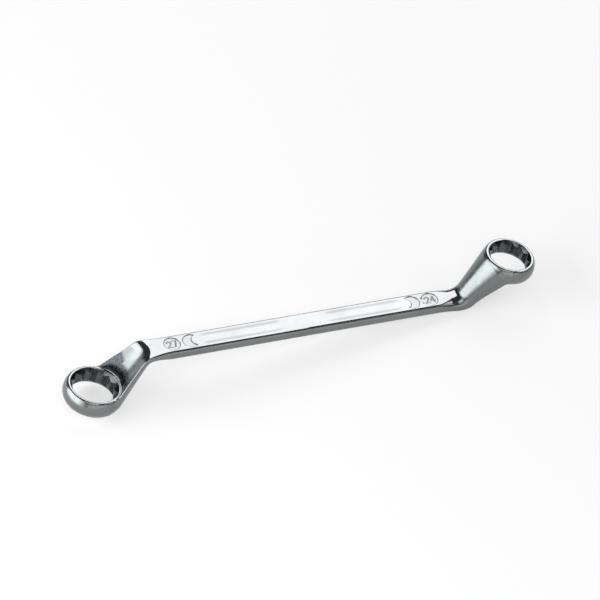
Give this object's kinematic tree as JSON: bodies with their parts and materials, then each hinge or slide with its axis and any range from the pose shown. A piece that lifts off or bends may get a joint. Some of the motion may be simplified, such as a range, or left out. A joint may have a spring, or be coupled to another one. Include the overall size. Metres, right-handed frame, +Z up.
{
  "type": "ring spanner",
  "caption": "Double-ended ring spanner with deep-offset twelve-point rings of two sizes, chrome plated.",
  "frame": {"origin": "middle of the spanner's footprint, on the bench that it lies on", "axes": "+Z up from the bench; +X along the spanner towards the small ring; +Y across it. It lies as it rests by itself: on the underside of the large ring and the bend of the small end, so the shank slopes down towards the small end by 8 degrees and the small ring stands up."},
  "size_m": [0.3336, 0.0404, 0.0377],
  "materials": {
    "chrome_plate": "polished chrome plate over a smooth forging"
  },
  "bodies": {
    "root": {"large_ring_head": "chrome_plate", "large_end_neck": "chrome_plate", "shank": "chrome_plate", "small_end_neck": "chrome_plate", "small_ring_head": "chrome_plate"}
  },
  "joints": []
}
